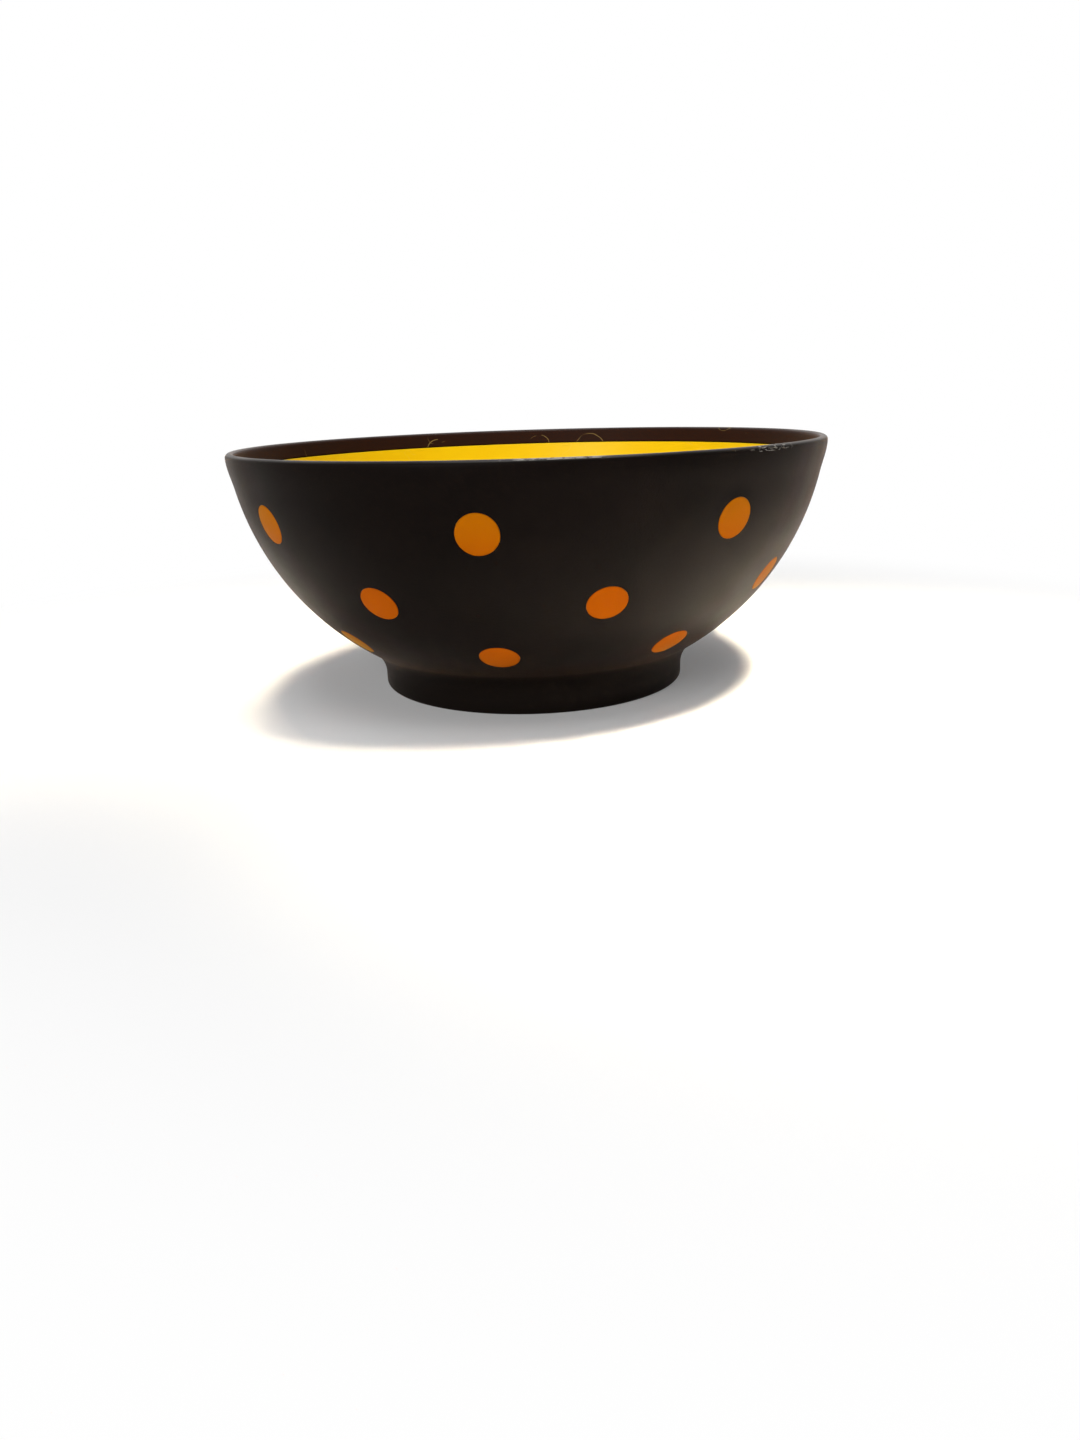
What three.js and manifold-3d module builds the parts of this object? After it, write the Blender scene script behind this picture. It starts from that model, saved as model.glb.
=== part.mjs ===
// A plastic bowl on a foot ring, in millimetres, +Z up.
// The origin is the centre of the circle that the foot stands on, and -Y is the front.
// A black outer shell carries the rim and the foot. A yellow liner is held inside it under the rim,
// and round amber dots fill windows in the shell, flush with its outer face.

import * as THREE from 'three';
import { mergeVertices } from 'three/addons/utils/BufferGeometryUtils.js';
import Module from 'manifold-3d';

// Overall form
const RIM_RADIUS = 100; // outside of the rim
const HEIGHT = 82.3; // base of the foot to the top of the rim
const RIM_LEAN = 5.2; // degrees that the wall leans out at the rim
const WALL_OVER_FOOT = 11; // height of the wall's outer curve above the foot's outer edge
const FLOOR_LIFT = 4; // middle of the underside above the base

// Layers of the wall
const SHELL_WALL = 1.2;
const LINER_WALL = 0.9;
const SEAT_GAP = 0.3; // between the shell and what is seated in it
const RIM_BAND = 5.5; // black band inside the rim, down to the liner's upper edge
const RIM_FLARE = 0.5; // how far the rim stands out past the wall's curve
const FLARE_HEIGHT = 11; // top of the rim down to where the flare starts

// Foot ring
const FOOT_RADIUS = 53.2; // outside of the ring at its base
const FOOT_WALL = 3.2;
const FOOT_DRAFT = 0.5; // degrees that the ring's outer side leans out as it rises
const FOOT_EDGE = 1.3; // radius of the ring's outer lower edge
const FOOT_INNER_EDGE = 0.5; // bevel of the ring's inner lower edge
const FOOT_FILLET = 12; // radius where the ring runs into the wall

// Dots, in rows measured along the wall from the rim
const DOT_RADIUS = 6.1;
const DOTS_IN_ROW = 8;
const FIRST_ROW = 18.2; // upper end of the wall's curve to the middle of the upper row
const ROW_PITCH = 23.9;
const DOT_ROWS = ['upper', 'middle', 'lower'];

// Finishes: moulded plastic in three colours
const SHELL_FINISH = { color: 0x1a1613, roughness: 0.5, metalness: 0 };
const LINER_FINISH = { color: 0xf4c200, roughness: 0.4, metalness: 0 };
const DOT_FINISH = { color: 0xb0660a, roughness: 0.45, metalness: 0 };

// Fineness of the facets
const TURN_SIDES = 48;
const WALL_STEPS = 9;
const FLOOR_STEPS = 4;
const ROUND_STEPS = 4;
const DOT_SIDES = 20;

const wall = SHELL_WALL + SEAT_GAP + LINER_WALL;
const bandBottom = HEIGHT - RIM_BAND;
const { degToRad } = THREE.MathUtils;

/** A point of a circle in the section plane, at an angle counted from the outward direction. */
function onCircle(centre, radius, angle) {
  return new THREE.Vector2(centre.x + radius * Math.cos(angle), centre.y + radius * Math.sin(angle));
}

/** Points of an arc, both ends included. */
function arc(centre, radius, from, to, steps) {
  return Array.from({ length: steps + 1 }, (_, i) =>
    onCircle(centre, radius, from + ((to - from) * i) / steps),
  );
}

// The rim is fully rounded, from the wall's inner face to the edge of its flare
const lean = degToRad(RIM_LEAN);
const inward = new THREE.Vector2(-Math.cos(lean), Math.sin(lean));
const rimRound = (wall + RIM_FLARE) / 2;
const rimCentre = new THREE.Vector2(RIM_RADIUS - rimRound, HEIGHT - rimRound);

// The wall's outer face is one arc, through the rim at its lean and through a point over the foot
const rimPoint = rimCentre.clone().addScaledVector(inward, rimRound - wall);
const chord = new THREE.Vector2(FOOT_RADIUS, WALL_OVER_FOOT).sub(rimPoint);
const curveRadius = chord.lengthSq() / (2 * chord.dot(inward));
const curveCentre = rimPoint.clone().addScaledVector(inward, curveRadius);

/** Angle of the wall's arc at a height, on the face that lies this deep in the wall. */
function wallAngle(height, depth) {
  return -Math.asin((curveCentre.y - height) / (curveRadius - depth));
}

// Inside the foot ring the wall runs on into the floor, which is flat in the middle
const footInside = FOOT_RADIUS - FOOT_WALL;
const floorAngle = -Math.acos((footInside - curveCentre.x) / curveRadius);
const floorEdge = onCircle(curveCentre, curveRadius, floorAngle);
const floorTurn = floorEdge.x + (floorEdge.y - FLOOR_LIFT) * Math.tan(floorAngle);
const floorCurve = new THREE.QuadraticBezierCurve(
  new THREE.Vector2(0, FLOOR_LIFT),
  new THREE.Vector2(floorTurn, FLOOR_LIFT),
  floorEdge,
);

/** Points of the floor from the axis to the wall, on the face that lies this deep in it. */
function floorLine(depth) {
  return Array.from({ length: FLOOR_STEPS }, (_, i) => {
    const point = floorCurve.getPoint(i / FLOOR_STEPS);
    const along = floorCurve.getTangent(i / FLOOR_STEPS);
    return new THREE.Vector2(point.x - along.y * depth, point.y + along.x * depth);
  });
}

/** Points of one face of the wall, from the axis up to a height. */
function wallLine(depth, top) {
  const rise = arc(curveCentre, curveRadius - depth, floorAngle, wallAngle(top, depth), WALL_STEPS);
  return [...floorLine(depth), ...rise];
}

/** Section of the foot ring and its fillet, from the floor round the base to the wall. */
function footSection() {
  const draft = degToRad(FOOT_DRAFT);
  const outward = new THREE.Vector2(Math.cos(draft), -Math.sin(draft));
  const up = new THREE.Vector2(Math.sin(draft), Math.cos(draft));
  const edgeCentre = new THREE.Vector2(FOOT_RADIUS - FOOT_EDGE, FOOT_EDGE);

  // The fillet's centre slides up beside the ring until its round touches the wall's arc
  const filletCentre = edgeCentre.clone().addScaledVector(outward, FOOT_EDGE + FOOT_FILLET);
  const offset = filletCentre.clone().sub(curveCentre);
  const along = offset.dot(up);
  const touching = (curveRadius + FOOT_FILLET) ** 2;
  filletCentre.addScaledVector(up, -along - Math.sqrt(along ** 2 - offset.lengthSq() + touching));
  const toWall = curveCentre.clone().sub(filletCentre).angle();

  const section = [
    floorEdge,
    new THREE.Vector2(footInside, FOOT_INNER_EDGE),
    new THREE.Vector2(footInside + FOOT_INNER_EDGE, 0),
    ...arc(edgeCentre, FOOT_EDGE, -Math.PI / 2, -draft, ROUND_STEPS),
    ...arc(filletCentre, FOOT_FILLET, Math.PI - draft, toWall, ROUND_STEPS),
  ];
  return { section, wallStart: toWall - Math.PI };
}

/** A closed section turned about the Z axis. */
function turned(section) {
  return new THREE.LatheGeometry(section, TURN_SIDES).rotateX(Math.PI / 2);
}

const wasm = await Module();
wasm.setup();

/** The solid inside a closed geometry. */
function toSolid(geometry) {
  const bare = geometry.clone();
  bare.deleteAttribute('normal');
  bare.deleteAttribute('uv');
  const merged = mergeVertices(bare);
  const corners = merged.index.array;
  const triangles = [];
  for (let i = 0; i < corners.length; i += 3) {
    const [a, b, c] = corners.subarray(i, i + 3);
    // Where a section meets the axis, its facets close to a line
    if (a !== b && b !== c && c !== a) {
      triangles.push(a, b, c);
    }
  }
  return new wasm.Manifold(
    new wasm.Mesh({
      numProp: 3,
      vertProperties: new Float32Array(merged.attributes.position.array),
      triVerts: new Uint32Array(triangles),
    }),
  );
}

/** The geometry of a solid. */
function toGeometry(solid) {
  const { vertProperties, triVerts } = solid.getMesh();
  const geometry = new THREE.BufferGeometry();
  geometry.setAttribute('position', new THREE.BufferAttribute(vertProperties, 3));
  geometry.setIndex(new THREE.BufferAttribute(triVerts, 1));
  geometry.computeVertexNormals();
  return geometry;
}

/** The black shell before its windows are cut: foot, outer face, rim, and the seat of the liner. */
function shellBlank() {
  const { section, wallStart } = footSection();
  const flareStart = wallAngle(HEIGHT - FLARE_HEIGHT, 0);
  const bandEnd = onCircle(curveCentre, curveRadius - wall, wallAngle(bandBottom, wall));
  return toSolid(turned([
    ...floorLine(0),
    ...section,
    ...arc(curveCentre, curveRadius, wallStart, flareStart, WALL_STEPS).slice(1),
    ...arc(rimCentre, rimRound, -lean, Math.PI - lean, 2 * ROUND_STEPS),
    bandEnd,
    ...wallLine(SHELL_WALL, bandBottom).reverse(),
  ]));
}

/** The yellow liner, its inner face flush with the band inside the rim. */
function linerGeometry() {
  const top = bandBottom - SEAT_GAP;
  return turned([...wallLine(wall - LINER_WALL, top), ...wallLine(wall, top).reverse()]);
}

/** A round bar square to the wall, at the middle of a dot. */
function dotBar(radius, row, place) {
  const angle = lean + (FIRST_ROW + row * ROW_PITCH) / curveRadius;
  const middle = onCircle(curveCentre, curveRadius - SHELL_WALL / 2, -angle);
  const length = SHELL_WALL + radius;
  // Every second row stands half a place round from its neighbours
  const turn = ((place + (row % 2) / 2) * 2 * Math.PI) / DOTS_IN_ROW;
  const bar = new THREE.CylinderGeometry(radius, radius, length, DOT_SIDES);
  return toSolid(bar.rotateX(angle).translate(0, -middle.x, middle.y).rotateZ(turn));
}

const bowl = new THREE.Group();
bowl.name = 'plastic_bowl';

/** Adds one piece of the bowl, with a material of its own. */
function addPiece(name, geometry, finish) {
  const piece = new THREE.Mesh(geometry, new THREE.MeshStandardMaterial(finish));
  piece.name = name;
  bowl.add(piece);
}

const dots = DOT_ROWS.flatMap((rowName, row) =>
  Array.from({ length: DOTS_IN_ROW }, (_, place) => ({ name: `dot_${rowName}_${place + 1}`, row, place })),
);
const blank = shellBlank();
const shell = dots.reduce(
  (rest, { row, place }) => rest.subtract(dotBar(DOT_RADIUS + SEAT_GAP, row, place)),
  blank,
);

addPiece('outer_shell', toGeometry(shell), SHELL_FINISH);
addPiece('inner_liner', linerGeometry(), LINER_FINISH);
for (const { name, row, place } of dots) {
  const dot = blank.intersect(dotBar(DOT_RADIUS, row, place));
  addPiece(name, toGeometry(dot), DOT_FINISH);
}

export default bowl;
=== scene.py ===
# A plastic bowl on a foot ring: a black shell, a yellow liner inside it, and amber dots flush in its wall.
# Metres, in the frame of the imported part: +Z up, the front towards -Y, the foot standing on Z = 0.

import math

import bpy
from mathutils import Matrix, Vector


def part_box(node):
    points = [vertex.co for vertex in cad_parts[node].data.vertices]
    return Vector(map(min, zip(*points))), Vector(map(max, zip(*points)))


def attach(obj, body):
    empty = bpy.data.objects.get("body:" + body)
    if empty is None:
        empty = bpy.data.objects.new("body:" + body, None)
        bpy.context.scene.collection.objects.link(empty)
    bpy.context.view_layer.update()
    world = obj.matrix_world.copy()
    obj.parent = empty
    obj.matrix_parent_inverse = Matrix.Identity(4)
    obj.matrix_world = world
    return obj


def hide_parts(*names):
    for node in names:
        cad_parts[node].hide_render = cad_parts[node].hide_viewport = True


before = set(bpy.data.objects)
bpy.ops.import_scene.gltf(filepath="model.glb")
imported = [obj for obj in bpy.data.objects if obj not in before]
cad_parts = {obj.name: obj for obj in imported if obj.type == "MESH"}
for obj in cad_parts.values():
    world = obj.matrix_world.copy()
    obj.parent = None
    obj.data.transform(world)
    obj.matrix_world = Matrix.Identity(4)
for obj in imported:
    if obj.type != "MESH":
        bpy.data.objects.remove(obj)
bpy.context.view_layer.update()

# Outer shell
# The black body of the bowl: one injection moulding of matte plastic, with a rounded rim and a foot ring.
# The liner is held inside it under the band of the rim, and round windows for the dots go through its wall.
MM = 0.001
RIM_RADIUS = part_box("outer_shell")[1].x
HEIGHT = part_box("outer_shell")[1].z
RIM_LEAN = math.radians(5.2)  # of the wall at the rim
RIM_FLARE = 0.5 * MM  # how far the rim stands out past the wall's curve
FLARE_HEIGHT = 11 * MM  # top of the rim down to where the flare starts
RIM_BAND = 5.5 * MM  # black band inside the rim, above the liner
SHELL_WALL = 1.2 * MM
WALL = 2.4 * MM  # shell and liner together
WALL_OVER_FOOT = 11 * MM  # height of the wall's curve above the foot's outer edge
FLOOR_LIFT = 4 * MM  # middle of the underside above the base
FOOT_RADIUS = 53.2 * MM
FOOT_WALL = 3.2 * MM
FOOT_DRAFT = math.radians(0.5)
FOOT_EDGE = 1.3 * MM
FOOT_INNER_EDGE = 0.5 * MM
FOOT_FILLET = 12 * MM  # where the ring runs into the wall
FLOOR_FILLET = 1.6 * MM  # inside the foot ring, under the floor
BAND_EDGE = 0.15 * MM
GATE_RADIUS = 3.2 * MM  # round recess under the middle of the floor, where the plastic was let in
GATE_DEPTH = 0.35 * MM
GATE_STUB = 0.9 * MM
SHELL_SIDES = 240
SHARP_ANGLE = math.radians(35)  # an edge between faces that meet more steeply is shaded sharp

DOT_RADIUS = 6.1 * MM
DOTS_IN_ROW = 8
DOT_ROWS = ("upper", "middle", "lower")
FIRST_ROW = 18.2 * MM  # along the wall, from the upper end of its curve
ROW_PITCH = 23.9 * MM
WINDOW_PLAY = 0.05 * MM
WINDOW_EDGE = 0.12 * MM  # bevel round the outside of a window
DOT_SIDES = 64

BLACK = (0.0034, 0.0021, 0.0016, 1)
BLACK_WARM = (0.0045, 0.0027, 0.0020, 1)
# The foot's paler colour is painted light, not wear: it lifts the foot out of the shade under the wall.
FOOT_PAINTED_LIGHT = (0.0085, 0.0060, 0.0047, 1)
FOOT_PAINTED_LIGHT_EDGE = (13 * MM, 7 * MM)  # heights over which the black goes over into the worn foot
# Reddish-brown of the band: painted light bounced onto the black plastic from the yellow liner.
BAND_PAINTED_BOUNCE = (0.026, 0.0110, 0.0076, 1)
SCRATCH_YELLOW = (0.34, 0.25, 0.10, 1)
# Pale of the rim's streaks: real scuffs, and painted glints.
SCUFF_AND_GLINT_PALE = (0.26, 0.24, 0.21, 1)
DUST = (0.30, 0.27, 0.22, 1)
BLACK_ROUGHNESS = 0.45
GRAIN = 0.5 * MM
GRAIN_DEPTH = 0.04 * MM
MARK_HALF_WIDTH = 0.14 * MM
MARK_SOFTNESS = 0.08 * MM
MARK_WAVER = 3 * MM  # how far a mark wanders off its arc, both ways together
MARK_WAVER_LENGTH = 8 * MM
BAND_MARKS = (  # degrees round from the front, depth under the rim, bend, and which half of the arc shows
    (-149, 1.8 * MM, 6 * MM, 1),
    (-175.6, 2.6 * MM, 3.5 * MM, -1),
    (171.7, 2.3 * MM, 7.5 * MM, 0),
)
# The stretch at 13 degrees is a painted glint line along the rim's top; the one at 51.5 is scuffs with
# painted glints.
SCUFF_AND_GLINT_STRETCHES = (  # degrees round from the front, reach in degrees, depth under the rim, and how thick they lie
    (13, 6.5, 0.35 * MM, 0.3),
    (51.5, 5, 1.5 * MM, 0.16),
)
SCUFF_RARE = 0.72  # level of the noise above which the rest of the rim is scuffed
SCUFF_SOFTNESS = 0.04
SCUFF_LENGTH = 2.2 * MM
SCUFF_WIDTH = 0.3 * MM


def on_circle(centre, radius, angle):
    """A point of a circle in the section plane, at an angle counted from the outward direction."""
    return centre + radius * Vector((math.cos(angle), math.sin(angle)))


def arc(centre, radius, start, end, steps):
    """Points of an arc, both ends included."""
    return [on_circle(centre, radius, start + (end - start) * i / steps) for i in range(steps + 1)]


def curve(start, pull_start, pull_end, end, steps):
    """Points of a smooth line between two ends that leaves and reaches them along its two pull points."""
    points = []
    for i in range(steps + 1):
        t = i / steps
        s = 1 - t
        points.append(s**3 * start + 3 * s * s * t * pull_start + 3 * s * t * t * pull_end + t**3 * end)
    return points


def eased(before, corner, after, radius, steps=5):
    """The points that round a corner between two straight lines."""
    back = (before - corner).normalized()
    ahead = (after - corner).normalized()
    half = back.angle(ahead) / 2
    centre = corner + (back + ahead).normalized() * radius / math.sin(half)
    first = (corner + back * radius / math.tan(half) - centre).normalized()
    last = (corner + ahead * radius / math.tan(half) - centre).normalized()
    return [centre + radius * first.slerp(last, i / steps) for i in range(steps + 1)]


# The wall's outer face is one arc, through the rim at its lean and through a point over the foot
rim_round = (WALL + RIM_FLARE) / 2
rim_centre = Vector((RIM_RADIUS - rim_round, HEIGHT - rim_round))
inward = Vector((-math.cos(RIM_LEAN), math.sin(RIM_LEAN)))
rim_point = rim_centre + inward * (rim_round - WALL)
chord = Vector((FOOT_RADIUS, WALL_OVER_FOOT)) - rim_point
wall_radius = chord.length_squared / (2 * chord.dot(inward))
wall_centre = rim_point + inward * wall_radius
foot_inside = FOOT_RADIUS - FOOT_WALL
floor_angle = -math.acos((foot_inside - wall_centre.x) / wall_radius)
floor_edge = on_circle(wall_centre, wall_radius, floor_angle)
floor_turn = Vector((floor_edge.x + (floor_edge.y - FLOOR_LIFT) * math.tan(floor_angle), FLOOR_LIFT))
band_bottom = HEIGHT - RIM_BAND


def wall_angle(height, depth):
    """Angle of the wall's arc at a height, on the face that lies this deep in the wall."""
    return -math.asin((wall_centre.y - height) / (wall_radius - depth))


def floor_line(depth, steps):
    """Points of the floor from the axis to the wall, on the face that lies this deep in it."""
    middle = Vector((0, FLOOR_LIFT))
    points = []
    for i in range(steps + 1):
        t = i / steps
        point = (1 - t) ** 2 * middle + 2 * t * (1 - t) * floor_turn + t * t * floor_edge
        along = ((1 - t) * (floor_turn - middle) + t * (floor_edge - floor_turn)).normalized()
        points.append(point + depth * Vector((-along.y, along.x)))
    return points


def underside_section():
    """From the axis: the gate's recess with its cut stub, the floor, and the fillet inside the foot ring."""
    recess = FLOOR_LIFT + GATE_DEPTH
    stub = Vector((GATE_STUB, FLOOR_LIFT + 0.3 * GATE_DEPTH))
    edge = Vector((GATE_RADIUS, recess))
    mouth = Vector((GATE_RADIUS, FLOOR_LIFT))
    points = [Vector((0, stub.y))]
    points += eased(points[0], stub, Vector((GATE_STUB, recess)), 0.2 * GATE_STUB)
    points += [Vector((GATE_STUB, recess))]
    points += eased(points[-1], edge, mouth, 0.3 * GATE_DEPTH)
    points += eased(edge, mouth, floor_turn, 0.3 * GATE_DEPTH)
    floor = floor_line(0, 24)
    ring_top = floor[-1]
    fillet = eased(floor[-2], ring_top, Vector((ring_top.x, 0)), FLOOR_FILLET, 8)
    points += [point for point in floor if points[-1].x + MM < point.x < fillet[0].x - 0.3 * MM]
    return points + fillet


def foot_section():
    """The foot ring and its fillet, from its inner lower edge to the wall, and the angle reached there."""
    edge_centre = Vector((FOOT_RADIUS - FOOT_EDGE, FOOT_EDGE))
    outward = Vector((math.cos(FOOT_DRAFT), -math.sin(FOOT_DRAFT)))
    upward = Vector((math.sin(FOOT_DRAFT), math.cos(FOOT_DRAFT)))
    # The fillet's centre slides up beside the ring until its round touches the wall's arc
    fillet_centre = edge_centre + outward * (FOOT_EDGE + FOOT_FILLET)
    offset = fillet_centre - wall_centre
    rise = offset.dot(upward)
    touching = (wall_radius + FOOT_FILLET) ** 2
    fillet_centre += upward * (-rise - math.sqrt(rise**2 - offset.length_squared + touching))
    to_wall = wall_centre - fillet_centre
    fillet_end = math.atan2(to_wall.y, to_wall.x)
    points = eased(floor_edge, Vector((foot_inside, 0)), Vector((FOOT_RADIUS, 0)), FOOT_INNER_EDGE)
    points += arc(edge_centre, FOOT_EDGE, -math.pi / 2, -FOOT_DRAFT, 8)
    points += arc(fillet_centre, FOOT_FILLET, math.pi - FOOT_DRAFT, fillet_end, 14)
    return points, fillet_end - math.pi


def shell_section():
    """The shell's section: from the axis along the underside, up the outside, over the rim, back inside."""
    foot, wall_start = foot_section()
    outside = arc(wall_centre, wall_radius, wall_start, wall_angle(HEIGHT - FLARE_HEIGHT, 0), 64)
    rim = arc(rim_centre, rim_round, -RIM_LEAN, math.pi - RIM_LEAN, 18)
    third = (rim[0] - outside[-1]).length / 3
    leaving = (outside[-1] - outside[-2]).normalized()
    reaching = (rim[1] - rim[0]).normalized()
    flare = curve(outside[-1], outside[-1] + third * leaving, rim[0] - third * reaching, rim[0], 10)
    seat_angle = wall_angle(band_bottom, SHELL_WALL)
    band = arc(wall_centre, wall_radius - WALL, -RIM_LEAN, wall_angle(band_bottom, WALL), 6)
    seat = arc(wall_centre, wall_radius - SHELL_WALL, seat_angle, floor_angle, 24)
    step = eased(band[-2], band[-1], seat[0], BAND_EDGE, 4)
    hidden_floor = floor_line(SHELL_WALL, 8)[-2::-1]
    return [
        *underside_section(),
        *foot,
        *outside[1:],
        *flare[1:-1],
        *rim,
        *band[1:-1],
        *step,
        *seat,
        *hidden_floor,
    ]


def new_tree(name, kind, inputs, outputs):
    """A node tree with named sockets, with what comes into it and what goes out of it."""
    tree = bpy.data.node_groups.new(name, kind)
    for side, sockets in (("INPUT", inputs), ("OUTPUT", outputs)):
        for socket_name, socket_kind in sockets.items():
            tree.interface.new_socket(socket_name, in_out=side, socket_type="NodeSocket" + socket_kind)
    return tree, tree.nodes.new("NodeGroupInput").outputs, tree.nodes.new("NodeGroupOutput").inputs


def wire(tree, kind, inputs=None, out=0, **settings):
    """Adds a node, gives its inputs values or links, and returns one of its outputs."""
    node = tree.nodes.new(kind)
    for name, value in settings.items():
        setattr(node, name, value)
    for key, value in (inputs or {}).items():
        if isinstance(value, bpy.types.NodeSocket):
            tree.links.new(value, node.inputs[key])
        else:
            node.inputs[key].default_value = value
    return node.outputs[out]


def maths(tree, operation, *values):
    """A sum on values or links."""
    return wire(tree, "ShaderNodeMath", dict(enumerate(values)), operation=operation)


def whole(tree, operation, *values):
    """A sum on whole numbers."""
    return wire(tree, "FunctionNodeIntegerMath", dict(enumerate(values)), operation=operation)


# A body is turned from its section: the columns of a grid are copies of the section, each turned on about Z
turned_tree, given, made = new_tree(
    "turned body", "GeometryNodeTree", {"Section": "Geometry", "Sides": "Int"}, {"Body": "Geometry"}
)
count = wire(turned_tree, "GeometryNodeAttributeDomainSize", {"Geometry": given["Section"]}, "Point Count")
columns = whole(turned_tree, "ADD", given["Sides"], 1)
grid = wire(turned_tree, "GeometryNodeMeshGrid", {"Vertices X": columns, "Vertices Y": count})
index = wire(turned_tree, "GeometryNodeInputIndex")
position = wire(turned_tree, "GeometryNodeInputPosition")
drawn = wire(
    turned_tree,
    "GeometryNodeSampleIndex",
    {"Geometry": given["Section"], "Value": position, "Index": whole(turned_tree, "MODULO", index, count)},
    data_type="FLOAT_VECTOR",
)
column = whole(turned_tree, "DIVIDE_FLOOR", index, count)
turn = maths(turned_tree, "DIVIDE", maths(turned_tree, "MULTIPLY", column, 2 * math.pi), given["Sides"])
turned_on = {"Vector": drawn, "Angle": turn}
placed = wire(turned_tree, "ShaderNodeVectorRotate", turned_on, rotation_type="Z_AXIS")
body = wire(turned_tree, "GeometryNodeSetPosition", {"Geometry": grid, "Position": placed})
merged = wire(turned_tree, "GeometryNodeMergeByDistance", {"Geometry": body, "Distance": 0.001 * MM})
turned_tree.links.new(merged, made["Body"])

# The places of the dots: rows along the wall, every second row half a place round
LAYOUT_SOCKETS = {
    "Dots in a row": "Int",
    "Rows": "Int",
    "First row": "Float",
    "Row pitch": "Float",
    "Rim lean": "Float",
    "Wall radius": "Float",
    "Wall centre": "Vector",
}
dot_layout = {
    "Dots in a row": DOTS_IN_ROW,
    "Rows": len(DOT_ROWS),
    "First row": FIRST_ROW,
    "Row pitch": ROW_PITCH,
    "Rim lean": RIM_LEAN,
    "Wall radius": wall_radius,
    "Wall centre": (0, -wall_centre.x, wall_centre.y),
}
places_tree, given, made = new_tree(
    "dot places", "GeometryNodeTree", LAYOUT_SOCKETS, {"Places": "Geometry", "Facing": "Rotation"}
)
index = wire(places_tree, "GeometryNodeInputIndex")
in_row = whole(places_tree, "MODULO", index, given["Dots in a row"])
row = whole(places_tree, "DIVIDE_FLOOR", index, given["Dots in a row"])
half_place = maths(places_tree, "MULTIPLY", maths(places_tree, "MODULO", row, 2), 0.5)
share = maths(places_tree, "DIVIDE", maths(places_tree, "ADD", in_row, half_place), given["Dots in a row"])
turn = maths(places_tree, "MULTIPLY", share, 2 * math.pi)
distance = maths(places_tree, "MULTIPLY_ADD", row, given["Row pitch"], given["First row"])
tilt = maths(places_tree, "DIVIDE", distance, given["Wall radius"])
tilt = maths(places_tree, "ADD", tilt, given["Rim lean"])
reach = maths(places_tree, "MULTIPLY", maths(places_tree, "COSINE", tilt), given["Wall radius"])
drop = maths(places_tree, "MULTIPLY", maths(places_tree, "SINE", tilt), given["Wall radius"])
from_centre = wire(places_tree, "ShaderNodeCombineXYZ", {"Y": reach, "Z": drop})
at_front = wire(
    places_tree, "ShaderNodeVectorMath", {0: given["Wall centre"], 1: from_centre}, operation="SUBTRACT"
)
turned_on = {"Vector": at_front, "Angle": turn}
place = wire(places_tree, "ShaderNodeVectorRotate", turned_on, rotation_type="Z_AXIS")
amount = whole(places_tree, "MULTIPLY", given["Dots in a row"], given["Rows"])
points = wire(places_tree, "GeometryNodePoints", {"Count": amount, "Position": place})
quarter_on = maths(places_tree, "ADD", tilt, math.pi / 2)
angles = wire(places_tree, "ShaderNodeCombineXYZ", {"X": quarter_on, "Z": turn})
places_tree.links.new(points, made["Places"])
places_tree.links.new(wire(places_tree, "FunctionNodeEulerToRotation", {"Euler": angles}), made["Facing"])


def at_places(tree, given, shape):
    """Copies of a shape that faces up, set on the places of the dots and made real."""
    layout = {name: given[name] for name in LAYOUT_SOCKETS}
    places = wire(tree, "GeometryNodeGroup", layout, "Places", node_tree=places_tree)
    copies = {"Points": places, "Instance": shape, "Rotation": places.node.outputs["Facing"]}
    instances = wire(tree, "GeometryNodeInstanceOnPoints", copies)
    return wire(tree, "GeometryNodeRealizeInstances", {"Geometry": instances})


def shaded(tree, body, material):
    """A body with smooth faces, sharp where they meet steeply, and its material."""
    angle = wire(tree, "GeometryNodeInputMeshEdgeAngle", out="Unsigned Angle")
    gentle = wire(tree, "FunctionNodeCompare", {"A": angle, "B": SHARP_ANGLE}, operation="LESS_THAN")
    for domain, smooth in (("FACE", True), ("EDGE", gentle)):
        shading = {"Geometry": body, "Shade Smooth": smooth}
        body = wire(tree, "GeometryNodeSetShadeSmooth", shading, domain=domain)
    return wire(tree, "GeometryNodeSetMaterial", {"Geometry": body, "Material": material})


def made_piece(name, section, tree, values):
    """Runs a tree on a section drawn at the front, and keeps what it makes as a plain mesh."""
    outline = bpy.data.meshes.new(name + "_section")
    edges = [(i, i + 1) for i in range(len(section) - 1)]
    outline.from_pydata([(0, -point.x, point.y) for point in section], edges, [])
    piece = bpy.data.objects.new(name, outline)
    bpy.context.scene.collection.objects.link(piece)
    modifier = piece.modifiers.new("making", "NODES")
    modifier.node_group = tree
    for socket in tree.interface.items_tree:
        if socket.name in values:
            modifier[socket.identifier] = values[socket.name]
    evaluated = piece.evaluated_get(bpy.context.evaluated_depsgraph_get())
    mesh = bpy.data.meshes.new_from_object(evaluated)
    piece.modifiers.remove(modifier)
    piece.data = mesh
    mesh.name = name
    bpy.data.meshes.remove(outline)
    return piece


def mixed(tree, factor, first, second):
    """One colour going over into another."""
    return wire(tree, "ShaderNodeMix", {0: factor, 6: first, 7: second}, 2, data_type="RGBA")


def between(tree, value, low, high):
    """0 below the low value, 1 above the high one, smooth in between; low may be the greater of the two."""
    limits = {"Value": value, "From Min": low, "From Max": high}
    return wire(tree, "ShaderNodeMapRange", limits, interpolation_type="SMOOTHSTEP")


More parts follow.
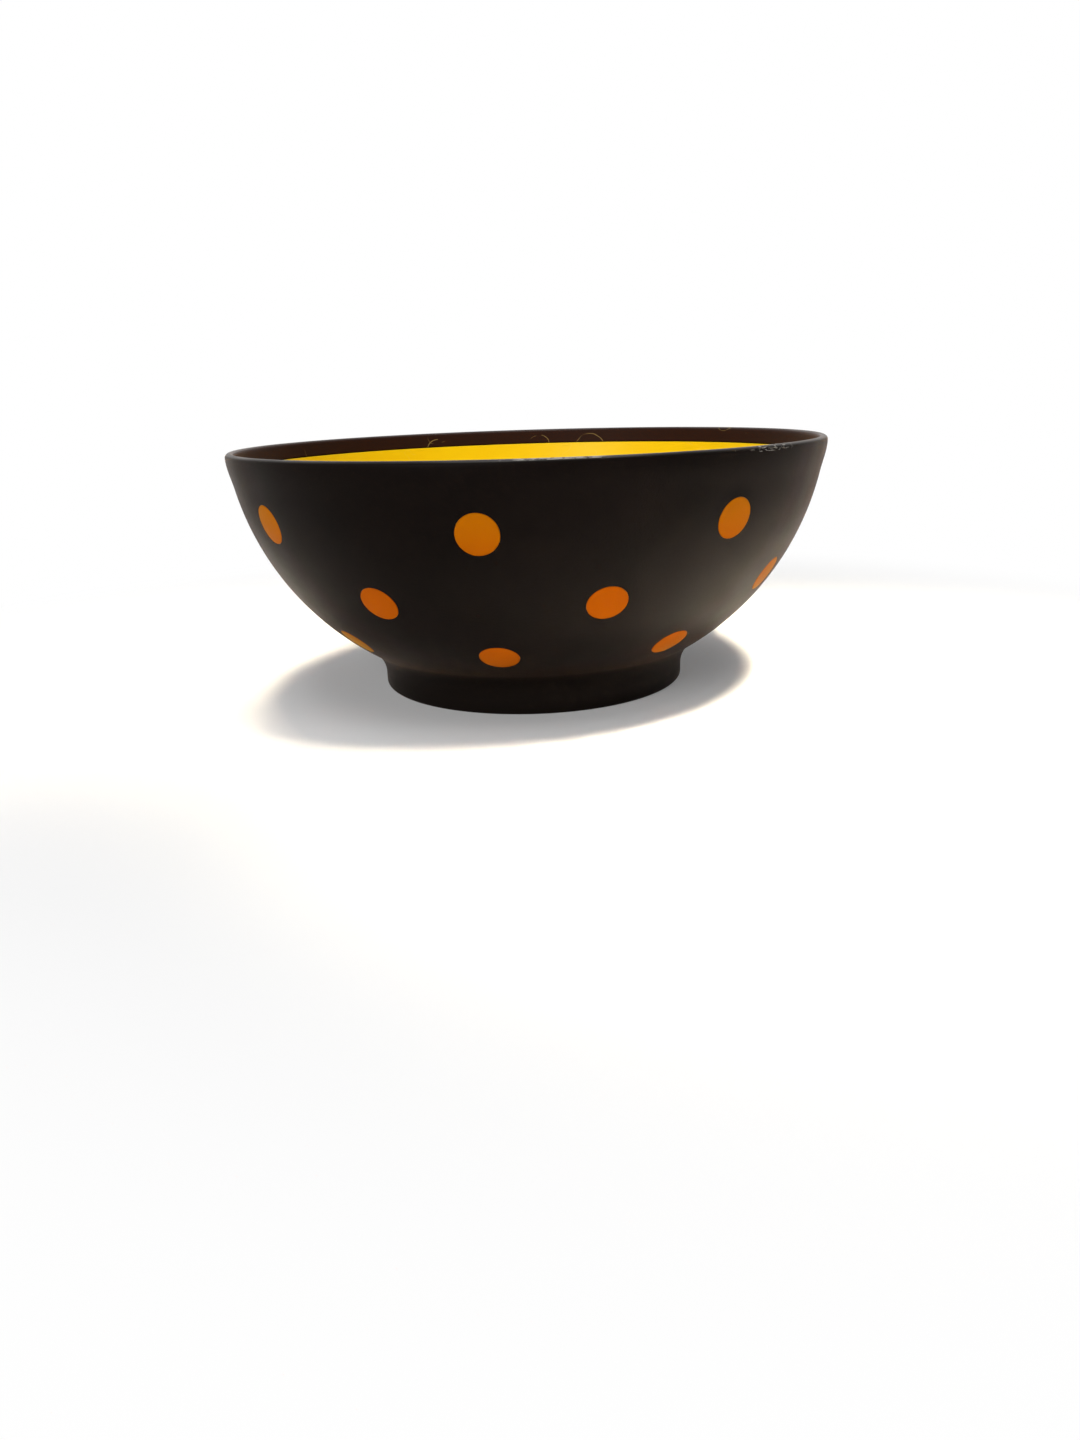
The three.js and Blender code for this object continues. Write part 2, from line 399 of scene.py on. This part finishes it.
# Moulded grain: a fine pebbled skin, and slow changes of tone over it
grain_group, given, made = new_tree(
    "moulded grain", "ShaderNodeTree", {"Grain": "Float"}, {"Height": "Float", "Mottle": "Float"}
)
surface = wire(grain_group, "ShaderNodeTexCoord", out="Object")
fineness = maths(grain_group, "DIVIDE", 1, given["Grain"])
pebbles = wire(grain_group, "ShaderNodeTexVoronoi", {"Vector": surface, "Scale": fineness}, "Distance")
ripples = wire(
    grain_group, "ShaderNodeTexNoise", {"Vector": surface, "Scale": fineness, "Detail": 3, "Roughness": 0.6}
)
height = maths(grain_group, "MULTIPLY_ADD", pebbles, -0.5, ripples)
slow = maths(grain_group, "MULTIPLY", fineness, 0.025)
mottle = wire(
    grain_group, "ShaderNodeTexNoise", {"Vector": surface, "Scale": slow, "Detail": 5, "Roughness": 0.62}
)
grain_group.links.new(height, made["Height"])
grain_group.links.new(between(grain_group, mottle, 0.3, 0.7), made["Mottle"])

# Hairline scratches: thin lines where a slow noise crosses its middle value, kept only in patches
scratch_group, given, made = new_tree(
    "hairline scratches",
    "ShaderNodeTree",
    {"Spacing": "Float", "Width": "Float", "Cover": "Float"},
    {"Lines": "Float"},
)
surface = wire(scratch_group, "ShaderNodeTexCoord", out="Object")
fineness = maths(scratch_group, "DIVIDE", 1, given["Spacing"])
wander = wire(scratch_group, "ShaderNodeTexNoise", {"Vector": surface, "Scale": fineness, "Detail": 1})
off_line = maths(scratch_group, "ABSOLUTE", maths(scratch_group, "SUBTRACT", wander, 0.5))
steepness = maths(scratch_group, "DIVIDE", given["Width"], given["Spacing"])
line = maths(scratch_group, "SUBTRACT", 1, maths(scratch_group, "DIVIDE", off_line, steepness))
line = maths(scratch_group, "MAXIMUM", line, 0)
patch_scale = maths(scratch_group, "MULTIPLY", fineness, 1.7)
patches = wire(scratch_group, "ShaderNodeTexNoise", {"Vector": surface, "Scale": patch_scale})
edge = maths(scratch_group, "SUBTRACT", 1, given["Cover"])
kept = between(scratch_group, patches, edge, maths(scratch_group, "ADD", edge, 0.08))
scratch_group.links.new(maths(scratch_group, "MULTIPLY", line, kept), made["Lines"])

# Dust: small pale specks, one in a few of the cells of a scatter
dust_group, given, made = new_tree(
    "dust specks",
    "ShaderNodeTree",
    {"Spacing": "Float", "Size": "Float", "Share": "Float"},
    {"Specks": "Float"},
)
surface = wire(dust_group, "ShaderNodeTexCoord", out="Object")
fineness = maths(dust_group, "DIVIDE", 1, given["Spacing"])
cells = wire(dust_group, "ShaderNodeTexVoronoi", {"Vector": surface, "Scale": fineness}, "Distance")
speck_size = maths(dust_group, "DIVIDE", given["Size"], given["Spacing"])
speck = between(dust_group, cells, speck_size, maths(dust_group, "MULTIPLY", speck_size, 0.5))
lot = wire(dust_group, "ShaderNodeSeparateColor", {"Color": cells.node.outputs["Color"]})
chosen = maths(dust_group, "LESS_THAN", lot, given["Share"])
dust_group.links.new(maths(dust_group, "MULTIPLY", speck, chosen), made["Specks"])


def new_finish(name):
    """A material, its node tree and its shader."""
    material = bpy.data.materials.new(name)
    material.use_nodes = True
    return material, material.node_tree, material.node_tree.nodes["Principled BSDF"]


def within(tree, value, middle, reach, soft):
    """1 where a value is less than a reach away from its middle, 0 further off, with a soft edge."""
    away = maths(tree, "ABSOLUTE", maths(tree, "SUBTRACT", value, middle))
    return between(tree, away, reach + soft, reach - soft)


# Black plastic: near black with a warm tone, browner on the band inside the rim with painted bounce light,
# and paler on the foot with painted light
black_plastic, tree, shader = new_finish("black_plastic")
surface = wire(tree, "ShaderNodeTexCoord", out="Object")
x = wire(tree, "ShaderNodeSeparateXYZ", {"Vector": surface}, "X")
z = x.node.outputs["Z"]
front = maths(tree, "MULTIPLY", x.node.outputs["Y"], -1)
around = maths(tree, "ARCTAN2", x, front)
flat = wire(tree, "ShaderNodeVectorMath", {0: surface, 1: (1, 1, 0)}, operation="MULTIPLY")
radius = wire(tree, "ShaderNodeVectorMath", {0: flat}, "Value", operation="LENGTH")
height = wire(tree, "ShaderNodeGroup", {"Grain": GRAIN}, "Height", node_tree=grain_group)
mottle = height.node.outputs["Mottle"]
above_liner = between(tree, z, band_bottom - 1 * MM, band_bottom)
inside_rim = between(tree, radius, RIM_RADIUS - 1.2 * MM, RIM_RADIUS - 2.2 * MM)
on_band = maths(tree, "MULTIPLY", above_liner, inside_rim)
colour = mixed(tree, mottle, BLACK, BLACK_WARM)
# The foot is painted paler, against the shade it lies in under the wall.
colour = mixed(tree, between(tree, z, *FOOT_PAINTED_LIGHT_EDGE), colour, FOOT_PAINTED_LIGHT)
# The band gets a painted tint of the yellow light bounced from the liner.
colour = mixed(tree, on_band, colour, BAND_PAINTED_BOUNCE)

# The band is rubbed: hairlines, and a few longer curved marks that waver and fade
hairlines = {"Spacing": 14 * MM, "Width": 0.06 * MM, "Cover": 0.42}
scratches = wire(tree, "ShaderNodeGroup", hairlines, node_tree=scratch_group)
scratches = maths(tree, "MULTIPLY", scratches, on_band)
waver = wire(tree, "ShaderNodeTexNoise", {"Vector": surface, "Scale": 1 / MARK_WAVER_LENGTH, "Detail": 1})
worn = between(tree, waver, 0.32, 0.55)
waver = maths(tree, "MULTIPLY_ADD", waver, MARK_WAVER, -MARK_WAVER / 2)
for place, drop, bend, side in BAND_MARKS:
    across = maths(tree, "MULTIPLY", maths(tree, "SUBTRACT", around, math.radians(place)), RIM_RADIUS)
    up = maths(tree, "SUBTRACT", z, HEIGHT - drop - bend)
    centre_line = wire(tree, "ShaderNodeCombineXYZ", {"X": across, "Y": up})
    off_centre = wire(tree, "ShaderNodeVectorMath", {0: centre_line}, "Value", operation="LENGTH")
    off_centre = maths(tree, "ADD", off_centre, waver)
    mark = within(tree, off_centre, bend, MARK_HALF_WIDTH, MARK_SOFTNESS)
    mark = maths(tree, "MULTIPLY", mark, worn)
    if side:
        on_side = between(tree, maths(tree, "MULTIPLY", across, side), 0, 0.3 * MM)
        mark = maths(tree, "MULTIPLY", mark, on_side)
    scratches = maths(tree, "MAXIMUM", scratches, maths(tree, "MULTIPLY", mark, on_band))
colour = mixed(tree, maths(tree, "MULTIPLY", scratches, 0.7), colour, SCRATCH_YELLOW)

# The rim's edge is scuffed in short streaks, most of all on two stretches at the front; their pale is partly
# painted glint
long_way = maths(tree, "MULTIPLY", around, RIM_RADIUS / SCUFF_LENGTH)
streak_lines = {"X": long_way, "Y": maths(tree, "DIVIDE", z, SCUFF_WIDTH)}
streaks = wire(tree, "ShaderNodeCombineXYZ", streak_lines)
streaks = wire(tree, "ShaderNodeTexNoise", {"Vector": streaks, "Scale": 1, "Detail": 2})
outside = between(tree, radius, rim_centre.x - 0.4 * MM, rim_centre.x)
edge = maths(tree, "MULTIPLY", between(tree, z, HEIGHT - 1 * MM, HEIGHT - 0.6 * MM), outside)
scuffs_and_glints = between(tree, streaks, SCUFF_RARE, SCUFF_RARE + SCUFF_SOFTNESS)
scuffs_and_glints = maths(tree, "MULTIPLY", scuffs_and_glints, edge)
for place, reach, depth, share in SCUFF_AND_GLINT_STRETCHES:
    stretch = within(tree, around, math.radians(place), math.radians(reach), math.radians(1.5))
    edge = maths(tree, "MULTIPLY", between(tree, z, HEIGHT - depth - 0.1 * MM, HEIGHT - depth), outside)
    thick = between(tree, streaks, SCUFF_RARE - share, SCUFF_RARE - share + SCUFF_SOFTNESS)
    thick = maths(tree, "MULTIPLY", maths(tree, "MULTIPLY", thick, stretch), edge)
    scuffs_and_glints = maths(tree, "MAXIMUM", scuffs_and_glints, thick)
# The streaks are painted pale: scuffs, and painted glints on the rim's edge.
colour = mixed(tree, scuffs_and_glints, colour, SCUFF_AND_GLINT_PALE)

# A few specks of dust
dust = {"Spacing": 11 * MM, "Size": 0.22 * MM, "Share": 0.06}
specks = wire(tree, "ShaderNodeGroup", dust, node_tree=dust_group)
colour = mixed(tree, maths(tree, "MULTIPLY", specks, 0.7), colour, DUST)
tree.links.new(colour, shader.inputs["Base Color"])

# Handling has polished the top of the rim
polish = between(tree, z, HEIGHT - 0.8 * MM, HEIGHT - 0.2 * MM)
polish = maths(tree, "MULTIPLY", polish, maths(tree, "MULTIPLY_ADD", mottle, 0.3, 0.25))
tree.links.new(polish, shader.inputs["Coat Weight"])
shader.inputs["Coat Roughness"].default_value = 0.25
roughness = maths(tree, "MULTIPLY_ADD", mottle, 0.08, BLACK_ROUGHNESS - 0.04)
tree.links.new(roughness, shader.inputs["Roughness"])
shader.inputs["Specular IOR Level"].default_value = 0.03
shader.inputs["Sheen Weight"].default_value = 0.1
shader.inputs["Sheen Roughness"].default_value = 0.3
shader.inputs["Sheen Tint"].default_value = (1, 0.62, 0.36, 1)
relief = maths(tree, "MULTIPLY_ADD", scratches, -0.6, height)
bump = wire(tree, "ShaderNodeBump", {"Strength": 1, "Distance": GRAIN_DEPTH, "Height": relief})
tree.links.new(bump, shader.inputs["Normal"])

# The cutter of a window faces up: a round bar through the wall, wider above the bevel
crown = wall_radius * 1.07  # mean curve of the wall at the dots
edge_drop = DOT_RADIUS**2 / (2 * crown)
window_radius = DOT_RADIUS + WINDOW_PLAY
window_section = [
    Vector((0, -3 * SHELL_WALL)),
    Vector((window_radius, -3 * SHELL_WALL)),
    Vector((window_radius, -edge_drop - WINDOW_EDGE)),
    Vector((window_radius + MM, -edge_drop - WINDOW_EDGE + MM)),
    Vector((0, -edge_drop - WINDOW_EDGE + MM)),
]
cutter = made_piece("window_cutter", window_section, turned_tree, {"Sides": DOT_SIDES})

shell_tree, given, made = new_tree(
    "shell with windows",
    "GeometryNodeTree",
    {"Section": "Geometry", "Sides": "Int", "Window": "Object", **LAYOUT_SOCKETS, "Finish": "Material"},
    {"Shell": "Geometry"},
)
turned_shell = {"Section": given["Section"], "Sides": given["Sides"]}
blank = wire(shell_tree, "GeometryNodeGroup", turned_shell, node_tree=turned_tree)
window = wire(shell_tree, "GeometryNodeObjectInfo", {"Object": given["Window"]}, "Geometry")
windows = {"Mesh 1": blank, "Mesh 2": at_places(shell_tree, given, window)}
cut = wire(shell_tree, "GeometryNodeMeshBoolean", windows, operation="DIFFERENCE", solver="MANIFOLD")
shell_tree.links.new(shaded(shell_tree, cut, given["Finish"]), made["Shell"])

shell = made_piece(
    "black_shell",
    shell_section(),
    shell_tree,
    {"Sides": SHELL_SIDES, "Window": cutter, "Finish": black_plastic, **dot_layout},
)
bpy.data.objects.remove(cutter)
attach(shell, "root")
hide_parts("outer_shell")

# Inner liner
# A thin bowl of glossier yellow plastic, moulded on its own and pressed into the shell.
# Its upper edge butts against the band inside the rim, so that the inside runs on flush.
LINER_WALL = 0.9 * MM
LINER_SEAM = 0.3 * MM  # between its upper edge and the band
LINER_EDGE = 0.18 * MM
YELLOW = (0.95, 0.66, 0.003, 1)
YELLOW_DEEP = (0.93, 0.62, 0.002, 1)
YELLOW_WORN = (0.94, 0.66, 0.08, 1)
LINER_ROUGHNESS = 0.38

yellow_plastic, tree, shader = new_finish("yellow_plastic")
height = wire(tree, "ShaderNodeGroup", {"Grain": 0.8 * MM}, "Height", node_tree=grain_group)
mottle = height.node.outputs["Mottle"]
scratches = wire(
    tree,
    "ShaderNodeGroup",
    {"Spacing": 11 * MM, "Width": 0.05 * MM, "Cover": 0.5},
    node_tree=scratch_group,
)
colour = mixed(tree, mottle, YELLOW, YELLOW_DEEP)
colour = mixed(tree, maths(tree, "MULTIPLY", scratches, 0.6), colour, YELLOW_WORN)
tree.links.new(colour, shader.inputs["Base Color"])
roughness = maths(tree, "MULTIPLY_ADD", mottle, 0.1, LINER_ROUGHNESS - 0.05)
roughness = maths(tree, "MULTIPLY_ADD", scratches, 0.2, roughness)
tree.links.new(roughness, shader.inputs["Roughness"])
shader.inputs["Specular IOR Level"].default_value = 0.12
relief = maths(tree, "MULTIPLY_ADD", scratches, -0.8, height)
bump = wire(tree, "ShaderNodeBump", {"Strength": 1, "Distance": 0.012 * MM, "Height": relief})
tree.links.new(bump, shader.inputs["Normal"])


def liner_section():
    """The liner's section: from the axis along its outer face, over its upper edge, down its inner face."""
    top = band_bottom - LINER_SEAM
    outer_depth = WALL - LINER_WALL
    outer = floor_line(outer_depth, 8)[:-1]
    outer += arc(wall_centre, wall_radius - outer_depth, floor_angle, wall_angle(top, outer_depth), 24)
    inner = arc(wall_centre, wall_radius - WALL, wall_angle(top, WALL), floor_angle, 56)
    inner_floor = floor_line(WALL, 28)[-2::-1]
    upper_edge = eased(outer[-1], inner[0], inner[1], LINER_EDGE)
    return [*outer, *upper_edge, *inner[1:], *inner_floor]


liner_tree, given, made = new_tree(
    "liner",
    "GeometryNodeTree",
    {"Section": "Geometry", "Sides": "Int", "Finish": "Material"},
    {"Liner": "Geometry"},
)
turned_liner = {"Section": given["Section"], "Sides": given["Sides"]}
body = wire(liner_tree, "GeometryNodeGroup", turned_liner, node_tree=turned_tree)
body = wire(liner_tree, "GeometryNodeRealizeInstances", {"Geometry": body})
liner_tree.links.new(shaded(liner_tree, body, given["Finish"]), made["Liner"])
liner = made_piece(
    "yellow_liner", liner_section(), liner_tree, {"Sides": SHELL_SIDES, "Finish": yellow_plastic}
)
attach(liner, "root")
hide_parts("inner_liner")

# Dots
# Twenty-four round inlays of amber plastic in three rows, moulded into the windows of the shell.
# Each follows the curve of the wall, with a fine rounded edge, and rests on the back of the liner.
DOT_EDGE = 0.14 * MM
DOT_THICKNESS = SHELL_WALL
AMBER = (0.40, 0.080, 0.0003, 1)
AMBER_DEEP = (0.37, 0.073, 0.0003, 1)
AMBER_YELLOW = (0.42, 0.117, 0.0005, 1)  # near the rim, where light from the inside comes through
YELLOW_FROM = HEIGHT - 32 * MM
YELLOW_FULL = HEIGHT - 14 * MM
DOT_ROUGHNESS = 0.45

amber_plastic, tree, shader = new_finish("amber_plastic")
height = wire(tree, "ShaderNodeGroup", {"Grain": 0.6 * MM}, "Height", node_tree=grain_group)
mottle = height.node.outputs["Mottle"]
scratches = wire(
    tree,
    "ShaderNodeGroup",
    {"Spacing": 9 * MM, "Width": 0.05 * MM, "Cover": 0.4},
    node_tree=scratch_group,
)
colour = mixed(tree, mottle, AMBER, AMBER_DEEP)
surface = wire(tree, "ShaderNodeTexCoord", out="Object")
z = wire(tree, "ShaderNodeSeparateXYZ", {"Vector": surface}, "Z")
colour = mixed(tree, between(tree, z, YELLOW_FROM, YELLOW_FULL), colour, AMBER_YELLOW)
tree.links.new(colour, shader.inputs["Base Color"])
roughness = maths(tree, "MULTIPLY_ADD", mottle, 0.08, DOT_ROUGHNESS - 0.04)
tree.links.new(roughness, shader.inputs["Roughness"])
shader.inputs["Specular IOR Level"].default_value = 0.012
shader.inputs["Sheen Weight"].default_value = 0.5
shader.inputs["Sheen Roughness"].default_value = 0.28
shader.inputs["Sheen Tint"].default_value = (1, 0.72, 0.10, 1)
relief = maths(tree, "MULTIPLY_ADD", scratches, -0.8, height)
bump = wire(tree, "ShaderNodeBump", {"Strength": 1, "Distance": GRAIN_DEPTH, "Height": relief})
tree.links.new(bump, shader.inputs["Normal"])

face = [Vector((DOT_RADIUS * (1 - i / 8), 0)) for i in range(9)]
for point in face:
    point.y = -(point.x**2) / (2 * crown)
back_edge = Vector((DOT_RADIUS, -DOT_THICKNESS))
dot_section = [
    Vector((0, back_edge.y)),
    Vector((0.5 * DOT_RADIUS, back_edge.y)),
    back_edge,
    *eased(back_edge, face[0], face[1], DOT_EDGE),
    *face[1:],
]

dots_tree, given, made = new_tree(
    "dots",
    "GeometryNodeTree",
    {"Section": "Geometry", "Sides": "Int", **LAYOUT_SOCKETS, "Finish": "Material"},
    {"Dots": "Geometry"},
)
turned_dot = {"Section": given["Section"], "Sides": given["Sides"]}
dot = wire(dots_tree, "GeometryNodeGroup", turned_dot, node_tree=turned_tree)
inlays = at_places(dots_tree, given, dot)
dots_tree.links.new(shaded(dots_tree, inlays, given["Finish"]), made["Dots"])
dots = made_piece(
    "amber_dots", dot_section, dots_tree, {"Sides": DOT_SIDES, "Finish": amber_plastic, **dot_layout}
)
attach(dots, "root")
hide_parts(*(f"dot_{row}_{place + 1}" for row in DOT_ROWS for place in range(DOTS_IN_ROW)))

# Floor, light and camera
# A plain pale floor that keeps the bowl's shadow and is clear from below, a white surround and soft lamps.
# The camera stands where the photograph was taken from.
FLOOR_SIZE = 6.0
FLOOR_WHITE = (0.86, 0.86, 0.86, 1)
FLOOR_FADE = (0.1, 0.32)  # distances over which the floor goes over into the white surround
FLOOR_GLOW = 0.15  # share of the white surround in the floor close to the bowl
SURROUND = 0.12  # strength of the light from all round
CAMERA_PLACE = (0.05285, -0.36515, 0.09889)
CAMERA_YAW = math.radians(7.981)
CAMERA_PITCH = math.radians(90 - 17.670)
CAMERA_ROLL = math.radians(-1.814)
CAMERA_LENS = 25.96


def seen_rays(tree):
    """1 where the background is looked at, directly or in a reflection, and 0 where it lights the bowl."""
    rays = wire(tree, "ShaderNodeLightPath", out="Is Camera Ray")
    seen = maths(tree, "MAXIMUM", rays, rays.node.outputs["Is Glossy Ray"])
    return maths(tree, "MAXIMUM", seen, rays.node.outputs["Is Transmission Ray"])


half = FLOOR_SIZE / 2
floor_mesh = bpy.data.meshes.new("floor")
floor_mesh.from_pydata(
    [(-half, -half, 0), (half, -half, 0), (half, half, 0), (-half, half, 0)], [], [(0, 1, 2, 3)]
)
floor = bpy.data.objects.new("floor", floor_mesh)
bpy.context.scene.collection.objects.link(floor)
pale_floor, tree, shader = new_finish("pale_floor")
shader.inputs["Base Color"].default_value = FLOOR_WHITE
shader.inputs["Roughness"].default_value = 0.9
shader.inputs["Specular IOR Level"].default_value = 0
surface = wire(tree, "ShaderNodeTexCoord", out="Object")
from_bowl = wire(tree, "ShaderNodeVectorMath", {0: surface}, "Value", operation="LENGTH")
far = maths(tree, "MULTIPLY_ADD", between(tree, from_bowl, *FLOOR_FADE), 1 - FLOOR_GLOW, FLOOR_GLOW)
far = maths(tree, "MULTIPLY", far, seen_rays(tree))
white = wire(tree, "ShaderNodeEmission", {"Color": (1, 1, 1, 1), "Strength": 1})
shown = wire(tree, "ShaderNodeMixShader", {0: far, 1: shader.outputs["BSDF"], 2: white})
below = wire(tree, "ShaderNodeNewGeometry", out="Backfacing")
clear = wire(tree, "ShaderNodeBsdfTransparent")
shown = wire(tree, "ShaderNodeMixShader", {0: below, 1: shown, 2: clear})
tree.links.new(shown, tree.nodes["Material Output"].inputs["Surface"])
floor_mesh.materials.append(pale_floor)

world = bpy.data.worlds.new("surround")
bpy.context.scene.world = world
world.use_nodes = True
tree = world.node_tree
tree.nodes.clear()
light = wire(tree, "ShaderNodeBackground", {"Color": (1, 1, 1, 1), "Strength": SURROUND})
white = wire(tree, "ShaderNodeBackground", {"Color": (1, 1, 1, 1), "Strength": 1})
shown = wire(tree, "ShaderNodeMixShader", {0: seen_rays(tree), 1: light, 2: white})
output = tree.nodes.new("ShaderNodeOutputWorld")
tree.links.new(shown, output.inputs["Surface"])


def soft_lamp(name, place, size, power, aim=(0, 0, HEIGHT / 2), spread=180, colour=(1, 1, 1)):
    """A square soft lamp turned towards a point, with its light kept inside an angle."""
    lamp = bpy.data.lights.new(name, "AREA")
    lamp.size = size
    lamp.energy = power
    lamp.spread = math.radians(spread)
    lamp.color = colour
    holder = bpy.data.objects.new(name, lamp)
    ahead = Vector(aim) - Vector(place)
    holder.matrix_world = Matrix.Translation(place) @ ahead.to_track_quat("-Z", "Y").to_matrix().to_4x4()
    holder.visible_camera = False
    bpy.context.scene.collection.objects.link(holder)
    return holder


soft_lamp("overhead", (0.1, -0.35, 1.25), 0.9, 10)
soft_lamp("front left", (-0.4, -1.0, 0.45), 0.6, 5.8)
soft_lamp("back", (0, 0.5, 1.2), 0.9, 2.5)

# Narrow lamps light only the floor beside the bowl, which shows as a soft sheen on its lower sides
right = soft_lamp(
    "right", (0.3, -0.2, 0.91), 0.16, 0.97, aim=(0.122, -0.03, 0), spread=21, colour=(1, 0.87, 0.66)
)
left = soft_lamp(
    "left", (-0.2, 0.1, 0.9), 0.16, 0.28, aim=(-0.16, 0.04, 0), spread=20, colour=(1, 0.85, 0.64)
)
lit_floor = bpy.data.collections.new("lit floor")
lit_floor.objects.link(floor)
for lamp in (right, left):
    lamp.light_linking.receiver_collection = lit_floor

camera = bpy.data.cameras.new("camera")
camera.sensor_width = 36
camera.lens = CAMERA_LENS
camera_holder = bpy.data.objects.new("camera", camera)
camera_holder.matrix_world = (
    Matrix.Translation(CAMERA_PLACE)
    @ Matrix.Rotation(CAMERA_YAW, 4, "Z")
    @ Matrix.Rotation(CAMERA_PITCH, 4, "X")
    @ Matrix.Rotation(CAMERA_ROLL, 4, "Z")
)
bpy.context.scene.collection.objects.link(camera_holder)
bpy.context.scene.camera = camera_holder
bpy.context.scene.view_settings.view_transform = "Standard"
